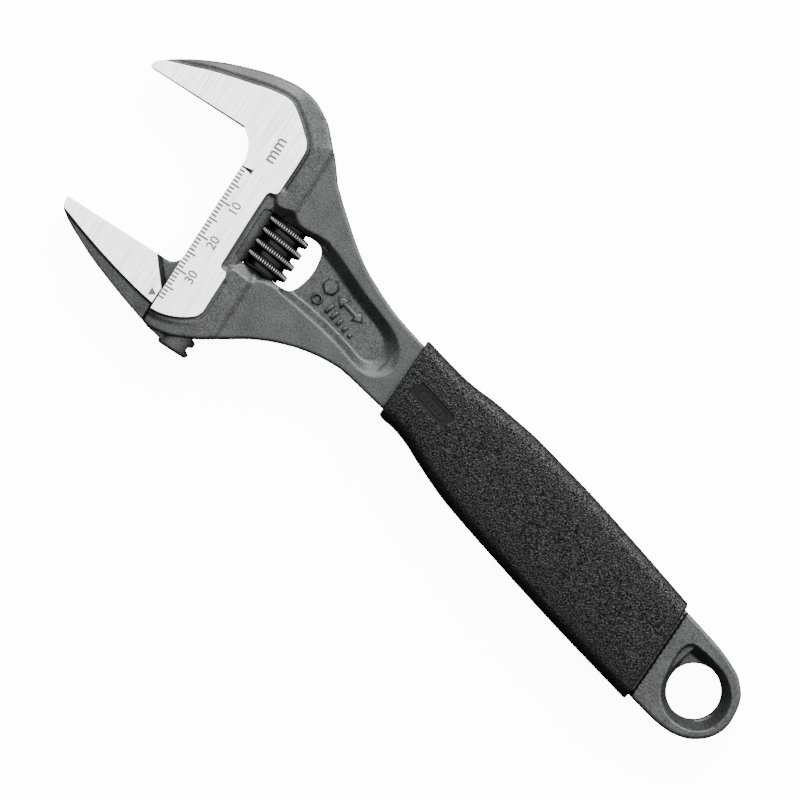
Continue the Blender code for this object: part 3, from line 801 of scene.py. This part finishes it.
def area_light(name, at, toward, size, power, colour=(1, 1, 1)):
    data = bpy.data.lights.new(name, "AREA")
    data.shape = "RECTANGLE"
    data.size, data.size_y = size
    data.energy = power
    data.color = colour
    obj = bpy.data.objects.new(name, data)
    bpy.context.scene.collection.objects.link(obj)
    obj.location = at
    obj.rotation_euler = (Vector(toward) - Vector(at)).to_track_quat("-Z", "Y").to_euler()
    return obj


def set_world():
    """A studio sky: brightest above and on the fixed jaw's side, dark low down and opposite."""
    world = bpy.data.worlds.new("studio")
    bpy.context.scene.world = world
    world.use_nodes = True
    nodes, links = world.node_tree.nodes, world.node_tree.links
    background = nodes["Background"]
    background.inputs["Color"].default_value = (1, 1, 1, 1)
    along = nodes.new("ShaderNodeVectorMath")
    along.operation = "DOT_PRODUCT"
    along.inputs[1].default_value = (0.35, -0.88, 0.32)
    part = nodes.new("ShaderNodeMapRange")
    part.inputs["From Min"].default_value = -0.7
    part.inputs["From Max"].default_value = 1.0
    curve = nodes.new("ShaderNodeMath")
    curve.operation = "POWER"
    curve.inputs[1].default_value = 1.9
    height = nodes.new("ShaderNodeSeparateXYZ")
    above = nodes.new("ShaderNodeMapRange")
    for socket, number in zip(("From Min", "From Max", "To Min", "To Max"), (-0.6, -0.05, 0.0, 8.6)):
        above.inputs[socket].default_value = number
    strength = nodes.new("ShaderNodeMath")
    strength.operation = "MULTIPLY"
    direction = nodes.new("ShaderNodeTexCoord").outputs["Generated"]
    links.new(direction, along.inputs[0])
    links.new(direction, height.inputs["Vector"])
    links.new(height.outputs["Z"], above.inputs["Value"])
    links.new(above.outputs["Result"], strength.inputs[1])
    links.new(along.outputs["Value"], part.inputs["Value"])
    links.new(part.outputs["Result"], curve.inputs[0])
    links.new(curve.outputs["Value"], strength.inputs[0])
    links.new(strength.outputs["Value"], background.inputs["Strength"])


def make_floor():
    """A white sweep that glows enough to read as white, and lights nothing."""
    look = Look("floor", (0.9, 0.9, 0.9), 0.0, 0.9, 0.1)
    look.set("Emission Color", (1, 1, 1, 1))
    look.set("Emission Strength", 11.0)
    bpy.ops.mesh.primitive_plane_add(size=6, location=(0, 0, 0))
    floor = bpy.context.object
    floor.name = "floor"
    floor.visible_diffuse = floor.visible_glossy = False
    floor.data.materials.append(look.material)
    return floor


def make_camera():
    """Square to the wrench's face, turned so that the handle runs down to the right."""
    data = bpy.data.cameras.new("camera")
    data.sensor_width = 36
    data.lens = 189.5
    camera = bpy.data.objects.new("camera", data)
    bpy.context.scene.collection.objects.link(camera)
    up, right = Vector((0.7396, -0.673, 0)), Vector((-0.673, -0.7396, 0))
    turn = Matrix((right, up, Vector((0, 0, 1)))).transposed().to_4x4()
    aim = place() @ Vector((102.9, 5.3, 0))
    camera.matrix_world = Matrix.Translation(aim + Vector((0, 0, 1.05))) @ turn
    bpy.context.scene.camera = camera


# ---------------------------------------------------------------- assembly


def main():
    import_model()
    forged, ground, oxide = forged_look(), ground_look(), oxide_look()
    grip, smooth_grip, ink = grip_look(), smooth_grip_look(), ink_look()
    pin = plain_steel_look("pin steel", 0.35)
    spring = plain_steel_look("spring wire", 0.3)

    thick = axis((-6.8, 7, 0.3))
    along = axis((-13.2, 18, 0.35), (18, 102, 0.9), (102, 207.8, 0.3))
    body = solid("body_forging", body_field, (along, axis((-30.4, 45.6, 0.3)), thick), place(), forged)
    jaw = solid("jaw_forging", jaw_field,
                (axis((-15, 34.8, 0.25)), axis((12.6, 58.4, 0.25)), axis((-6.8, 7, 0.25))),
                place_head(), forged)
    sleeve = solid("grip_moulding", grip_field, (axis((9.4, 110.4, 0.36)), axis((-15.4, 16.6, 0.36)),
                                                 axis((-8.8, 9, 0.36))), place(), grip)
    knurl = knurl_mesh(oxide)
    faces = mirrored(flat_shape("fixed_faces", [traced(FIXED_FACE)], 5.0, FACE_HALF, 0.1, place(), ground,
                                TAPER_U))
    jaw_faces = mirrored(flat_shape("jaw_faces", [traced(JAW_FACE)], 5.0, FACE_HALF, 0.1, place(), ground,
                                    TAPER_U))
    marks = scale_marks(ink)
    symbols = neck_marks(forged)
    pointer = flat_shape("jaw_pointer", [[(2.75, 45.9), (0.9, 47.0), (2.75, 48.1)]], FACE_HALF - 0.02,
                         FACE_HALF + 0.012, 0.002, place_head(), ink)
    badge = joined("badge", [
        flat_shape("plate", [bar(91.0, -1.85, 102.2, 2.05)], 6.9, 7.3, 0.05, place(), smooth_grip),
        flat_shape("rim", [bar(90.55, -2.3, 102.65, 2.5), bar(90.95, -1.9, 102.25, 2.1)], 7.2, 7.96, 0.1,
                   place(),
                   smooth_grip),
        flat_shape("ring", [stadium(96.6, 0.1, 9.6, 2.9), stadium(96.6, 0.1, 8.9, 2.2)], 7.2, 7.6, 0.1,
                   place(),
                   smooth_grip),
        *(flat_shape("rib", [bar(93.55 + 1.4 * i, -0.55, 94.05 + 1.4 * i, 0.75)], 7.2, 7.55, 0.1, place(),
                     smooth_grip) for i in range(5)),
    ])

    for piece, owner in ((body, "wrench"), (sleeve, "wrench"), (faces, "wrench"), (marks, "wrench"),
                         (symbols, "wrench"), (badge, "wrench"), (jaw, "jaw"), (jaw_faces, "jaw"),
                         (pointer, "jaw"), (knurl, "worm")):
        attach(piece, owner)
    for piece, node in ((body, "body"), (jaw, "movable_jaw"), (sleeve, "grip_sleeve"), (knurl, "knurl")):
        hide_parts(node)
    for name, look in (("knurl_pin", pin), ("knurl_spring", spring)):
        node = bpy.data.objects[name]
        node.data.materials.clear()
        node.data.materials.append(look)

    make_floor()
    set_world()
    area_light("key", (0.24, -0.62, 0.52), (0.08, 0, 0), (0.8, 0.4), 11)
    make_camera()


main()
